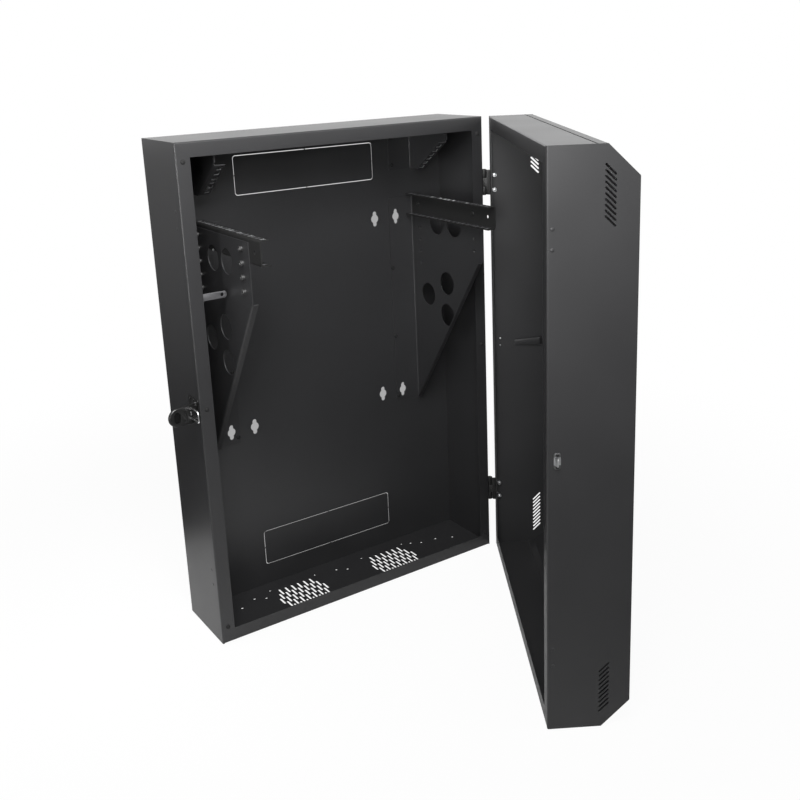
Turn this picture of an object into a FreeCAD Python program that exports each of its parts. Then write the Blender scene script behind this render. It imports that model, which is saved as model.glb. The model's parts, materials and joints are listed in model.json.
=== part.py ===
import FreeCAD, Part
import math
import os

# Vertical wall mount rack. Millimetres and degrees.
# Origin at the centre of the wall face, X to the right, front towards -Y, Z up.

# Cabinet shell
WIDTH = 641.0
HEIGHT = 935.0
DEPTH = 151.0
SHEET = 1.5
BEND = 1.5
LIP = 26.0

# Wall slots and cable knockouts in the back
SLOT_X = (203.2, 152.4)
SLOT_Z = (265.5, -115.5)
SLOT_ROUND = 17.5
SLOT_WIDE = 9.0
SLOT_TALL = 31.0
KNOCKOUT_WIDE = 305.2
KNOCKOUT_TALL = 75.2
KNOCKOUT_Z = 384.5
KNOCKOUT_CUT = 1.4
KNOCKOUT_ROUND = 6.0
KNOCKOUT_TIE = 2.0

# Fan grilles and tie holes in the bottom
FAN_X = 110.4
FAN_Y = -83.2
FAN_ROWS = (6, 7, 8, 7, 6)
FAN_ROW_PITCH = 17.1
FAN_COLUMN_PITCH = 14.2
FAN_SLOT = 25.0
FAN_SLOT_WIDE = 4.5
FAN_HOLE_SPACING = 105.0
FAN_HOLE = 4.5
TIE_PAIR_X = (-192.0, 0.0, 192.0)
TIE_PAIR = ((-10.5, -40.0), (10.5, -52.0))
TIE_SINGLE = ((237.5, -57.0), (272.5, -74.0))
TIE_HOLE = 5.0

# Main brackets
PLATE_IN = 243.7
PLATE = 2.0
PLATE_BEND = 2.0
BRACKET_FOOT = 186.0
BRACKET_TOP = 304.0
BRACKET_FRONT = -243.0
BRACKET_KNEE = 197.0
BRACKET_TOE = (-14.0, -140.0)
BRACKET_EDGE = 12.0
BRACKET_RELIEF = 2.5
CABLE_HOLE = 47.0
CABLE_HOLES = ((-92.0, 256.0), (-151.0, 258.0), (-122.0, 134.5), (-55.0, 101.0), (-121.0, 67.5))
RAIL_HOLE = 6.5
RAIL_HOLE_FRONT = -217.0
RAIL_HOLE_REAR = -31.0
RAIL_HOLE_Z = (290.0, 265.2, 240.4, 215.6)
RAIL_HOLE_Z_REAR = (190.8, 166.0)
FOOT_REAR = 12.0
FOOT_LAP = 8.0

# Rack rails, six units deep, standard square holes
RACK_LINE = 232.55
RACK_IN = 225.2
UNIT = 44.45
UNIT_HOLES = (6.35, 22.225, 38.1)
UNITS = 6
SQUARE = 9.5
RAIL_BOTTOM = 267.3
RAIL_TOP = 311.3
RAIL_REAR = -10.0
RAIL_FRONT = -285.5
RACK_START = -12.0
RAIL_EYE = (-263.0, 289.3)
RAIL_EYE_HOLE = 6.5

# Angled patch panel brackets, two units
PATCH_FOOT = 191.0
PATCH_BOTTOM = 362.0
PATCH_TOP = 438.0
PATCH_HEEL = -52.0
PATCH_FRONT = -135.0
PATCH_NOSE = 422.5
PATCH_UNITS = 2
PATCH_RELIEF = 2.0

# Hinges, two alike, barrel outside the right wall
HINGE_X = 328.0
HINGE_Y = -144.1
HINGE_Z = (336.0, -336.0)
HINGE_TALL = 50.0
KNUCKLE = 6.0
KNUCKLE_DOOR = 17.6
KNUCKLE_GAP = 0.4
PIN = 3.5
PIN_FIT = 0.06
LEAF = 2.5
LEAF_REAR = -120.5
LEAF_FRONT = -176.0
LEAF_CLEAR = 7.6
ARM_IN = 321.5
ARM_LAP = 4.0
ARM_SHORT = 5.3
HINGE_HOLE = 5.2
HINGE_HOLE_SPACING = 30.0
CABINET_HOLE_Y = -129.0
DOOR_HOLE_Y = -164.0

# Door
DOOR_GAP = 4.0
DOOR_DEPTH = 133.5
CHAMFER = 46.0
DOOR_REST = 58.6
SKIN_LIP = 14.0
SEAM = 2.6
JOGGLE = 1.7
JOGGLE_RUN = 2.3
JOGGLE_BEND = 0.9
VENT_V = (84.3, 98.4)
VENT_Z = 439.0
VENT_DROP = 14.1
VENT_PITCH = 8.1
VENT_COUNT = 10
VENT_WIDE = 3.2

# Draw latch on the left wall
PIVOT = (-327.0, -149.0)
LEVER_REST = 95.0
LEVER_HALF = 17.0
LEVER_START = 15.0
LEVER_SHOULDER = 38.0
LEVER_END = 55.0
LEVER_IN = -3.0
LEVER_OUT = -8.0
LEVER_RIM = 1.2
FINGER = (39.5, 5.0, 12.0, 3.5)
GROOVE = (24.0, 8.5, 5.0, 1.5)
CHEEK = 2.0
CHEEK_LONG = (14.0, 30.0)
CHEEK_WIDE = 3.6
PIVOT_PIN = 2.0
PIVOT_PLAY = 0.4
EAR = (12.0, 14.0)
EAR_ROUND = 4.5
EAR_LONG = 16.0
EAR_FRONT = 0.8
LUG = (3.5, 6.5)
LUG_ROUND = 2.9
LUG_WIDE = (-2.8, 2.4)
LUG_LONG = (8.0, 12.0)
LUG_ROOT = 3.0
BAIL_OFFSET = (1.5, 9.0)
BAIL_LONG = 34.0
BAIL_HALF = 9.5
BAIL_WIRE = 1.75
BAIL_FIT = 0.08
BAIL_ROUND = (2.8, 4.5)
BAIL_STEPS = 4
BAIL_SIDES = 12
LATCH_BASE = (-103.0, -148.0, 19.0)
LATCH_BASE_ROUND = 4.0

# Keeper on the door
KEEPER_Y = -171.0
KEEPER_HALF = 13.0
KEEPER_LONG = 10.5
KEEPER_ROUND = 3.0
HOOK_HALF = 6.5
HOOK_FRONT = -171.8
HOOK_OUT = 8.0
HOOK_LEAN = 0.6
HOOK_TIP = 2.2
HOOK_ROOT = 4.5

# Door bumpers and tie tabs
BUMPER = 4.0
BUMPER_TALL = 2.5
BUMPER_SIDES = 12
BUMPER_X = 307.5
BUMPER_Z = (435.0, 0.0, -435.0)
TAB_Z = 201.0
TAB_TALL = 12.4
TAB_ROUND = 5.0
TAB_X = (-312.0, -250.0)
TAB_HOLE = 6.0
TAB_HOLE_IN = 9.0
DOOR_TAB_V = (46.0, 118.0)
DOOR_TAB_STAND = 6.0
DOOR_TAB_FOOT = (14.0, 20.0)
DOOR_TAB_HALF = (4.5, 9.5)
DOOR_TAB_BEND = 2.0

# Extra length of cutters, and sides of the small holes that repeat
PAST = 1.0
HOLE_SIDES = 8

SIDE = WIDTH / 2
TOP = HEIGHT / 2
DOOR_REAR = -(DEPTH + DOOR_GAP)
DOOR_FRONT = DOOR_REAR - DOOR_DEPTH
V = FreeCAD.Vector
X = V(1, 0, 0)
Y = V(0, 1, 0)
Z = V(0, 0, 1)
NOUGHT = V(0, 0, 0)


def corner(a, b, c, radius):
    """Start, middle and end of an arc that rounds the corner b."""
    u = (a - b).normalize()
    w = (c - b).normalize()
    half = u.getAngle(w) / 2
    cut = radius / math.tan(half)
    inward = (u + w).normalize()
    return b + u * cut, b + inward * (radius / math.sin(half) - radius), b + w * cut


def path(points, radii):
    """Edges of an open line with its inner corners rounded."""
    edges = []
    start = points[0]
    for a, b, c, radius in zip(points, points[1:], points[2:], radii):
        p, middle, q = corner(a, b, c, radius)
        if (p - start).Length > 1e-6:
            edges.append(Part.makeLine(start, p))
        edges.append(Part.Arc(p, middle, q).toShape())
        start = q
    edges.append(Part.makeLine(start, points[-1]))
    return edges


def offset(points, distance):
    """The line moved sideways to its left, corner by corner."""
    moved = []
    for i, p in enumerate(points):
        runs = []
        if i > 0:
            runs.append((p - points[i - 1]).normalize())
        if i < len(points) - 1:
            runs.append((points[i + 1] - p).normalize())
        a = runs[0]
        b = runs[-1]
        scale = distance / (1 + a.dot(b))
        moved.append(p + V(-a.y - b.y, a.x + b.x) * scale)
    return moved


def lay(shape, origin, xdir, ydir):
    """Turn a shape drawn in X and Y so that it lies along two given directions."""
    turn = FreeCAD.Rotation(xdir, ydir, xdir.cross(ydir), "XYZ")
    shape.Placement = FreeCAD.Placement(origin, turn)
    return shape


def bent(points, sheet, bend, length, origin, xdir, ydir):
    """Bent sheet: the points follow one skin, the other skin lies to their left."""
    skin = [V(x, y) for x, y in points]
    back = offset(skin, sheet)
    near = []
    far = []
    for a, b, c in zip(skin, skin[1:], skin[2:]):
        left = (b - a).cross(c - b).z > 0
        near.append(bend + sheet if left else bend)
        far.append(bend if left else bend + sheet)
    edges = path(skin, near)
    edges.append(Part.makeLine(skin[-1], back[-1]))
    edges += path(back[::-1], far[::-1])
    edges.append(Part.makeLine(back[0], skin[0]))
    solid = Part.Face(Part.Wire(edges)).extrude(V(0, 0, length))
    return lay(solid, origin, xdir, ydir)


def prism(points, length, origin, xdir, ydir, radius=0.0):
    """Straight prism on a closed outline, its corners rounded if a radius is given."""
    corners = [V(x, y) for x, y in points]
    if radius:
        middle = (corners[0] + corners[-1]) * 0.5
        edges = path([middle] + corners + [middle], [radius] * len(corners))
        wire = Part.Wire(edges)
    else:
        wire = Part.makePolygon(corners + corners[:1])
    return lay(Part.Face(wire).extrude(V(0, 0, length)), origin, xdir, ydir)


def stadium(a, b, width, length, origin, xdir, ydir):
    """Prism on a slot outline between the end centres a and b."""
    a = V(*a)
    b = V(*b)
    along = (b - a).normalize() * (width / 2)
    side = V(-along.y, along.x)
    edges = [
        Part.makeLine(a - side, b - side),
        Part.Arc(b - side, b + along, b + side).toShape(),
        Part.makeLine(b + side, a + side),
        Part.Arc(a + side, a - along, a - side).toShape(),
    ]
    return lay(Part.Face(Part.Wire(edges)).extrude(V(0, 0, length)), origin, xdir, ydir)


def box(x0, x1, y0, y1, z0, z1):
    """Block between two corners."""
    return Part.makeBox(x1 - x0, y1 - y0, z1 - z0, V(x0, y0, z0))


def rectangle(wide, tall):
    """Corners of a rectangle about the origin."""
    w = wide / 2
    t = tall / 2
    return [(-w, -t), (w, -t), (w, t), (-w, t)]


def mirrored(shape, normal=X):
    """The same piece handed about a centre plane."""
    return shape.mirror(NOUGHT, normal)


def turned(shape, centre, angle):
    """A copy turned about an upright axis."""
    copy = shape.copy()
    copy.rotate(V(centre[0], centre[1], 0), Z, angle)
    return copy


def clean(shape):
    """One solid with its split faces joined."""
    return shape.removeSplitter().Solids[0]


def ring(radius, sides):
    """Corners of an even sided outline whose flats touch a circle."""
    reach = radius / math.cos(math.pi / sides)
    turns = [math.pi * (2 * i + 1) / sides for i in range(sides)]
    return [(reach * math.cos(turn), reach * math.sin(turn)) for turn in turns]


def small_hole(diameter, length, origin, xdir, ydir):
    """Eight sided cutter for the small holes that repeat."""
    return prism(ring(diameter / 2, HOLE_SIDES), length, origin, xdir, ydir)


def small_slot(a, b, width, length, origin, xdir, ydir):
    """Slot cutter with ends of three flats, for the slots that repeat."""
    a = V(*a)
    b = V(*b)
    heading = math.atan2(b.y - a.y, b.x - a.x)
    corners = []
    for end, back in ((b, 0), (a, math.pi)):
        for degrees in (-90, -30, 30, 90):
            turn = heading + back + math.radians(degrees)
            corners.append((end.x + width / 2 * math.cos(turn), end.y + width / 2 * math.sin(turn)))
    return prism(corners, length, origin, xdir, ydir)


def through_x(points, diameter, x0, x1):
    """Round cutters along X at points given as depth and height."""
    return [Part.makeCylinder(diameter / 2, x1 - x0, V(x0, y, z), X) for y, z in points]


def export(name, shape):
    """Write one named piece; a list of alike pieces goes out as one group."""
    if isinstance(shape, list):
        shape = Part.makeCompound(shape)
    shape.exportStep("parts/%s.step" % name)


def lip_mitres(lip_y):
    """Cutters that take a left hand lip to a mitre at its two ends."""
    a = SIDE - SHEET - BEND
    b = SIDE - LIP - PAST
    drop = a - b
    top = TOP - SHEET - BEND
    outline = [(-a, top), (-a, TOP + PAST), (-b, TOP + PAST), (-b, top - drop)]
    depth = 2 * (SHEET + PAST)
    upper = prism(outline, 2 * depth, V(0, lip_y + depth, 0), X, Z)
    return [upper, mirrored(upper, Z)]


def hinge_holes(y):
    """Depth and height of the four hinge holes on one upright line."""
    half = HINGE_HOLE_SPACING / 2
    return [(y, z + s * half) for z in HINGE_Z for s in (1, -1)]


def cabinet_walls():
    """Left and right walls, each folded to a mitred front lip."""
    skin = [(-SIDE, 0), (-SIDE, -DEPTH), (LIP - SIDE, -DEPTH)]
    blank = bent(skin, SHEET, BEND, HEIGHT, V(0, 0, -TOP), X, Y)
    blank = blank.cut(lip_mitres(-DEPTH))
    spare = through_x(hinge_holes(CABINET_HOLE_Y), HINGE_HOLE, -SIDE - PAST, SHEET - SIDE + PAST)
    return clean(blank.cut(spare)), clean(mirrored(blank))


def cabinet_top(walls):
    """Top sheet with its front lip, trimmed to the walls."""
    skin = [(0, TOP), (-DEPTH, TOP), (-DEPTH, TOP - LIP)]
    inner = SIDE - SHEET
    blank = bent(skin, SHEET, BEND, 2 * inner, V(-inner, 0, 0), Y, Z)
    return clean(blank.cut(walls))


def fan_grille(x):
    """Slot and screw hole cutters of one fan position."""
    low = V(0, 0, -TOP - PAST)
    depth = SHEET + 2 * PAST
    reach = (FAN_SLOT - FAN_SLOT_WIDE) / 2
    cutters = []
    for row, count in enumerate(FAN_ROWS):
        y = FAN_Y + ((len(FAN_ROWS) - 1) / 2 - row) * FAN_ROW_PITCH
        for i in range(count):
            column = x + (i - (count - 1) / 2) * FAN_COLUMN_PITCH
            ends = (column, y - reach), (column, y + reach)
            cutters.append(small_slot(*ends, FAN_SLOT_WIDE, depth, low, X, Y))
    half = FAN_HOLE_SPACING / 2
    for dx in (-half, half):
        for dy in (-half, half):
            cutters.append(Part.makeCylinder(FAN_HOLE / 2, depth, low + V(x + dx, FAN_Y + dy)))
    return cutters


def cabinet_bottom(top):
    """Bottom sheet: the top handed, with two fan grilles and the tie holes."""
    cutters = fan_grille(-FAN_X) + fan_grille(FAN_X)
    places = [(x + dx, y) for x in TIE_PAIR_X for dx, y in TIE_PAIR]
    places += [(s * x, y) for x, y in TIE_SINGLE for s in (1, -1)]
    for x, y in places:
        cutters.append(small_hole(TIE_HOLE, SHEET + 2 * PAST, V(x, y, -TOP - PAST), X, Y))
    return clean(mirrored(top, Z).cut(cutters))


def wall_slot(x, z):
    """Cutter of one wall slot: a round entry in an upright slot."""
    reach = (SLOT_TALL - SLOT_WIDE) / 2
    start = V(x, PAST, z)
    depth = SHEET + 2 * PAST
    entry = Part.makeCylinder(SLOT_ROUND / 2, depth, start, Y * -1)
    slot = stadium((0, -reach), (0, reach), SLOT_WIDE, depth, start, X, Z)
    return entry.fuse(slot)


def knockout(z):
    """Cutter of one knockout outline, broken by a thin tie in the middle of each side."""
    origin = V(0, PAST, z)
    depth = SHEET + 2 * PAST
    outer = prism(rectangle(KNOCKOUT_WIDE, KNOCKOUT_TALL), depth, origin, X, Z, KNOCKOUT_ROUND)
    inside = rectangle(KNOCKOUT_WIDE - 2 * KNOCKOUT_CUT, KNOCKOUT_TALL - 2 * KNOCKOUT_CUT)
    inner = prism(inside, depth, origin, X, Z, KNOCKOUT_ROUND - KNOCKOUT_CUT)
    wide = KNOCKOUT_WIDE / 2 + PAST
    tall = KNOCKOUT_TALL / 2 + PAST
    half = KNOCKOUT_TIE / 2
    upright = box(-half, half, -depth, depth, z - tall, z + tall)
    level = box(-wide, wide, -depth, depth, z - half, z + half)
    return outer.cut([inner, upright, level])


def back_panel():
    """Back sheet with wall slots and knockouts."""
    inner = SIDE - SHEET
    blank = box(-inner, inner, -SHEET, 0, SHEET - TOP, TOP - SHEET)
    cutters = [wall_slot(s * x, z) for x in SLOT_X for z in SLOT_Z for s in (1, -1)]
    cutters += [knockout(KNOCKOUT_Z), knockout(-KNOCKOUT_Z)]
    return clean(blank.cut(cutters))


def folded_edge(start, end, width, lead, relief):
    """Lip folded inward along a sloping front edge of a right hand plate."""
    a = V(0, *start)
    b = V(0, *end)
    along = (b - a).normalize()
    out = V(0, along.z, -along.y)
    face = PLATE_IN + PLATE
    length = (b - a).Length - 2 * relief
    skin = [(face, -lead), (face, 0), (face - width, 0)]
    return bent(skin, PLATE, PLATE_BEND, length, a + along * relief, X, out), along, out


def foot(reach, low, high):
    """Plate edge folded to a foot on the back panel."""
    face = PLATE_IN + PLATE
    skin = [(face, -SHEET - FOOT_REAR), (face, -SHEET), (reach, -SHEET)]
    return bent(skin, PLATE, PLATE_BEND, high - low, V(0, 0, low), X, Y)


def foot_slot(x, z):
    """Cutter in a foot, a little larger than the wall slot behind it."""
    wide = SLOT_WIDE + PAST
    reach = (SLOT_TALL - SLOT_WIDE) / 2
    start = V(x, 0, z)
    depth = SHEET + PLATE + PAST
    entry = prism(ring(SLOT_ROUND / 2, 2 * HOLE_SIDES), depth, start, X, Z)
    return entry.fuse(small_slot((0, -reach), (0, reach), wide, depth, start, X, Z))


def shifted(point, out, distance):
    """A depth and height point moved along a direction."""
    return (point[0] + out.y * distance, point[1] + out.z * distance)


def main_bracket():
    """Right main bracket: plate, foot, sloping folded edge and cable holes."""
    knee = (BRACKET_FRONT, BRACKET_KNEE)
    lead = 2 * PLATE + PLATE_BEND
    edge, along, out = folded_edge(knee, BRACKET_TOE, BRACKET_EDGE, lead + PAST, BRACKET_RELIEF)
    rear = -SHEET - FOOT_LAP
    inset = BRACKET_RELIEF - PAST
    outline = [(rear, BRACKET_TOP), (BRACKET_FRONT, BRACKET_TOP), knee]
    outline += [shifted(shifted(knee, along, inset), out, d) for d in (0, -lead)]
    outline += [shifted(shifted(BRACKET_TOE, along, -inset), out, d) for d in (-lead, 0)]
    outline += [BRACKET_TOE, (rear, BRACKET_TOE[1])]
    plate = prism(outline, PLATE, V(PLATE_IN, 0, 0), Y, Z)
    blank = plate.fuse([edge, foot(BRACKET_FOOT, BRACKET_TOE[1], BRACKET_TOP)])
    x0 = PLATE_IN - PAST
    x1 = PLATE_IN + PLATE + PAST
    cutters = through_x(CABLE_HOLES, CABLE_HOLE, x0, x1)
    rail_holes = [(RAIL_HOLE_FRONT, z) for z in RAIL_HOLE_Z]
    rail_holes += [(RAIL_HOLE_REAR, z) for z in RAIL_HOLE_Z + RAIL_HOLE_Z_REAR]
    cutters += [small_hole(RAIL_HOLE, x1 - x0, V(x0, y, z), Y, Z) for y, z in rail_holes]
    cutters += [foot_slot(SLOT_X[0], z) for z in SLOT_Z]
    return clean(blank.cut(cutters))


def rack_rail():
    """Right rail: channel with square rack holes through both flanges."""
    face = PLATE_IN
    skin = [(RACK_IN, RAIL_BOTTOM), (face, RAIL_BOTTOM), (face, RAIL_TOP), (RACK_IN, RAIL_TOP)]
    blank = bent(skin, PLATE, BEND, RAIL_REAR - RAIL_FRONT, V(0, RAIL_REAR, 0), X, Z)
    tall = RAIL_TOP - RAIL_BOTTOM + 2 * PAST
    cutters = []
    for unit in range(UNITS):
        for hole in UNIT_HOLES:
            centre = V(RACK_LINE, RACK_START - unit * UNIT - hole, RAIL_BOTTOM - PAST)
            cutters.append(prism(rectangle(SQUARE, SQUARE), tall, centre, X, Y))
    eye = V(face - PLATE - PAST, *RAIL_EYE)
    cutters.append(small_hole(RAIL_EYE_HOLE, PLATE + 2 * PAST, eye, Y, Z))
    return clean(blank.cut(cutters))


def patch_bracket():
    """Right angled bracket: plate, foot and a sloping flange with rack holes."""
    nose = (PATCH_FRONT, PATCH_NOSE)
    heel = (PATCH_HEEL, PATCH_BOTTOM)
    lead = 2 * PLATE + PLATE_BEND
    flange, along, out = folded_edge(nose, heel, PLATE_IN + PLATE - RACK_IN, lead + PAST, PATCH_RELIEF)
    rear = -SHEET - FOOT_LAP
    upper = shifted(nose, out, -lead)
    lower = shifted(heel, out, -lead)
    outline = [(rear, PATCH_TOP), (PATCH_FRONT, PATCH_TOP), (PATCH_FRONT, upper[1])]
    outline += [(lower[0], PATCH_BOTTOM), (rear, PATCH_BOTTOM)]
    plate = prism(outline, PLATE, V(PLATE_IN, 0, 0), Y, Z)
    blank = plate.fuse([flange, foot(PATCH_FOOT, PATCH_BOTTOM, PATCH_TOP)])
    middle = (V(0, *nose) + V(0, *heel)) * 0.5
    cutters = []
    for unit in range(PATCH_UNITS):
        for hole in UNIT_HOLES:
            step = (unit - PATCH_UNITS / 2) * UNIT + hole
            centre = middle + along * step + X * RACK_LINE + out * PLATE
            cutters.append(prism(rectangle(SQUARE, SQUARE), 3 * PLATE, centre, X, along))
    return clean(blank.cut(cutters))


def cabinet_leaf(z):
    """Fixed hinge leaf with its two end knuckles."""
    half = HINGE_TALL / 2
    door = KNUCKLE_DOOR / 2 + KNUCKLE_GAP
    edge = HINGE_Y + LEAF_CLEAR
    leaf = box(SIDE, SIDE + LEAF, edge, LEAF_REAR, z - half, z + half)
    pieces = []
    for low, high in ((z - half, z - door), (z + door, z + half)):
        pieces.append(Part.makeCylinder(KNUCKLE, high - low, V(HINGE_X, HINGE_Y, low)))
        pieces.append(box(SIDE, SIDE + LEAF, HINGE_Y, edge, low, high))
    bore = Part.makeCylinder(PIN, HINGE_TALL, V(HINGE_X, HINGE_Y, z - half))
    return clean(leaf.fuse(pieces).cut(bore))


def door_leaf(z):
    """Moving hinge leaf with its middle knuckle, drawn with the door shut."""
    half = HINGE_TALL / 2
    door = KNUCKLE_DOOR / 2
    edge = HINGE_Y - LEAF_CLEAR
    leaf = box(SIDE, SIDE + LEAF, LEAF_FRONT, edge, z - half, z + half)
    arm = box(ARM_IN, ARM_IN + LEAF, edge - ARM_LAP, HINGE_Y, z - door, z + door)
    lip = box(ARM_IN, ARM_IN + LEAF, edge - ARM_LAP, HINGE_Y - ARM_SHORT, z - half, z + half)
    knuckle = Part.makeCylinder(KNUCKLE, KNUCKLE_DOOR, V(HINGE_X, HINGE_Y, z - door))
    bore = Part.makeCylinder(PIN + PIN_FIT, KNUCKLE_DOOR, V(HINGE_X, HINGE_Y, z - door))
    return clean(leaf.fuse([arm, lip, knuckle]).cut(bore))


def hinge_pin(z):
    """Plain pin, tight in the fixed knuckles and standing a little past both."""
    half = HINGE_TALL / 2 + PAST
    return Part.makeCylinder(PIN, 2 * half, V(HINGE_X, HINGE_Y, z - half))


def door_blank():
    """Left hand door wall with its mitred rear lip, chamfered front corners and vents."""
    skin = [(LIP - SIDE, DOOR_REAR), (-SIDE, DOOR_REAR), (-SIDE, DOOR_FRONT)]
    blank = bent(skin, SHEET, BEND, HEIGHT, V(0, 0, -TOP), X, Y)
    past = -SIDE - PAST
    start = DOOR_FRONT + CHAMFER + PAST
    end = TOP - CHAMFER - PAST
    corner_cut = [(start, TOP + PAST), (DOOR_FRONT - PAST, TOP + PAST), (DOOR_FRONT - PAST, end)]
    cut = prism(corner_cut, LIP, V(past, 0, 0), Y, Z)
    cutters = lip_mitres(DOOR_REAR) + [cut, mirrored(cut, Z)]
    rear, front = (DOOR_REAR - v for v in VENT_V)
    for i in range(VENT_COUNT):
        z = VENT_Z - i * VENT_PITCH
        slot = small_slot((rear, z), (front, z - VENT_DROP), VENT_WIDE, LIP, V(past, 0, 0), Y, Z)
        cutters += [slot, mirrored(slot, Z)]
    return clean(blank.cut(cutters))


def door_free_side(wall):
    """The door wall with the holes for hanging the door on the other side."""
    x = -SIDE - PAST
    depth = SHEET + 2 * PAST
    places = [V(x, y, z) for y, z in hinge_holes(DOOR_HOLE_Y)]
    return clean(wall.cut([small_hole(HINGE_HOLE, depth, place, Y, Z) for place in places]))


def door_top(walls):
    """Door top with its rear lip and a joggled tongue under the front skin."""
    seam = DOOR_FRONT + CHAMFER + SKIN_LIP + SEAM
    low = TOP - JOGGLE
    skin = [(DOOR_REAR, TOP - LIP), (DOOR_REAR, TOP), (seam, TOP)]
    skin += [(seam - JOGGLE_RUN, low), (seam - SKIN_LIP, low)]
    inner = SIDE - SHEET
    blank = bent(skin, SHEET, JOGGLE_BEND, 2 * inner, V(-inner, 0, 0), Y, Z)
    return clean(blank.cut(walls))


def door_skin():
    """Front sheet folded over both chamfers to a lip on the top and the bottom."""
    start = DOOR_FRONT + CHAMFER
    high = TOP - CHAMFER
    upper = [(start + SKIN_LIP, TOP), (start, TOP), (DOOR_FRONT, high)]
    skin = upper + [(y, -z) for y, z in upper[::-1]]
    inner = SIDE - SHEET
    return bent(skin, SHEET, BEND, 2 * inner, V(-inner, 0, 0), Y, Z)


def latch_base():
    """Latch plate on the wall with two upright ears for the lever."""
    rear, front, half = LATCH_BASE
    px, py = PIVOT
    wall = -SIDE - SHEET
    outline = [(front, -half), (rear, -half), (rear, half), (front, half)]
    plate = prism(outline, SHEET, V(wall, 0, 0), Y, Z, LATCH_BASE_ROUND)
    ear = [(wall, py - EAR_FRONT), (wall, py + EAR_LONG), (px, py + EAR_LONG), (px - EAR_ROUND, py)]
    ear += [(px, py), (px, py - EAR_FRONT)]
    thick = EAR[1] - EAR[0]
    ears = []
    for z in (EAR[0], -EAR[1]):
        ears.append(prism(ear, thick, V(0, 0, z), X, Y))
        ears.append(Part.makeCylinder(EAR_ROUND, thick, V(px, py, z)))
    pins = Part.makeCylinder(PIVOT_PIN, 4 * LEVER_HALF, V(px, py, -2 * LEVER_HALF))
    return clean(plate.fuse(ears).cut(pins))


def pivot_pins():
    """Two plain pins, tight in the ears, that carry the lever cheeks."""
    px, py = PIVOT
    long = LEVER_HALF + PIVOT_PLAY - EAR[0]
    return [Part.makeCylinder(PIVOT_PIN, long, V(px, py, s * EAR[0]), Z * s) for s in (1, -1)]


def lever_grip():
    """Round ended grip plate with a softened rim, a finger recess and a groove."""
    a = V(LEVER_START, -LEVER_HALF)
    b = V(LEVER_SHOULDER, -LEVER_HALF)
    c = V(LEVER_SHOULDER, LEVER_HALF)
    d = V(LEVER_START, LEVER_HALF)
    tip = Part.Arc(b, V(LEVER_END, 0), c).toShape()
    wire = Part.Wire([Part.makeLine(a, b), tip, Part.makeLine(c, d), Part.makeLine(d, a)])
    grip = Part.Face(wire).extrude(V(0, 0, LEVER_IN - LEVER_OUT))
    rim = [e for e in grip.Edges if e.BoundBox.ZMax < PAST and e.BoundBox.XMax > LEVER_START + PAST]
    grip = grip.makeChamfer(LEVER_RIM, rim)
    for along, half, wide, deep in (FINGER, GROOVE):
        grip = grip.cut(small_slot((along, -half), (along, half), wide, deep, NOUGHT, X, Y))
    return lay(grip, V(PIVOT[0] + LEVER_OUT, PIVOT[1], 0), Y, Z)


def latch_lever():
    """Lever drawn shut: a grip with two cheeks on the pivot and two bail lugs."""
    px, py = PIVOT
    bx, by = BAIL_OFFSET
    near, far = CHEEK_LONG
    brow = LEVER_OUT + LEVER_RIM
    cheek = [(CHEEK_WIDE, 0), (CHEEK_WIDE, near), (LEVER_IN, far)]
    cheek += [(brow, far), (brow, LEVER_START), (-EAR_ROUND, 0)]
    low, high = (bx + w for w in LUG_WIDE)
    root = LEVER_OUT + LUG_ROOT
    front, back = (by + reach for reach in LUG_LONG)
    lug = [(low, by), (high, by), (high, front), (LEVER_IN, back), (root, back), (root, LEVER_START)]
    thick = LUG[1] - LUG[0]
    pieces = []
    for z in (LEVER_HALF - CHEEK, -LEVER_HALF):
        pieces.append(Part.makeCylinder(EAR_ROUND, CHEEK, V(px, py, z)))
        pieces.append(prism(cheek, CHEEK, V(px, py, z), X, Y))
    for z in (LUG[0], -LUG[1]):
        pieces.append(prism(lug, thick, V(px, py, z), X, Y))
        pieces.append(Part.makeCylinder(LUG_ROUND, thick, V(px + bx, py + by, z)))
    tall = 4 * LEVER_HALF
    pivot = Part.makeCylinder(PIVOT_PIN + PIN_FIT, tall, V(px, py, -tall / 2))
    bail = Part.makeCylinder(BAIL_WIRE + BAIL_FIT, tall, V(px + bx, py + by, -tall / 2))
    return clean(lever_grip().fuse(pieces).cut([pivot, bail]))


def wire_loop(points, normal, radius, sides):
    """Closed wire of an even sided section, mitred at each point of a flat loop."""
    outline = ring(radius * math.cos(math.pi / sides), sides)
    sections = []
    for i, point in enumerate(points):
        before = (point - points[i - 1]).normalize().cross(normal)
        after = (points[(i + 1) % len(points)] - point).normalize().cross(normal)
        mitre = (before + after).normalize()
        mitre = mitre * (1 / mitre.dot(after))
        sections.append([point + normal * a + mitre * b for a, b in outline])
    faces = []
    for first, second in zip(sections, sections[1:] + sections[:1]):
        for k in range(sides):
            n = (k + 1) % sides
            faces.append(Part.Face(Part.makePolygon([first[k], first[n], second[n], second[k], first[k]])))
    solid = Part.Solid(Part.Shell(faces))
    if solid.Volume < 0:
        solid.reverse()
    return solid


def latch_bail():
    """Closed wire loop drawn shut, from the lever lugs forward round the keeper."""
    bx = PIVOT[0] + BAIL_OFFSET[0]
    by = PIVOT[1] + BAIL_OFFSET[1]
    near, far = BAIL_ROUND
    front = by - BAIL_LONG
    hubs = [(by - near, BAIL_HALF - near, near, 90), (front + far, BAIL_HALF - far, far, 180)]
    hubs += [(front + far, far - BAIL_HALF, far, 270), (by - near, near - BAIL_HALF, near, 360)]
    points = []
    for y, z, bend, start in hubs:
        for step in range(BAIL_STEPS):
            turn = math.radians(start - 90 + 90 * step / (BAIL_STEPS - 1))
            points.append(V(bx, y + bend * math.cos(turn), z + bend * math.sin(turn)))
    return wire_loop(points, X, BAIL_WIRE, BAIL_SIDES)


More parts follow.
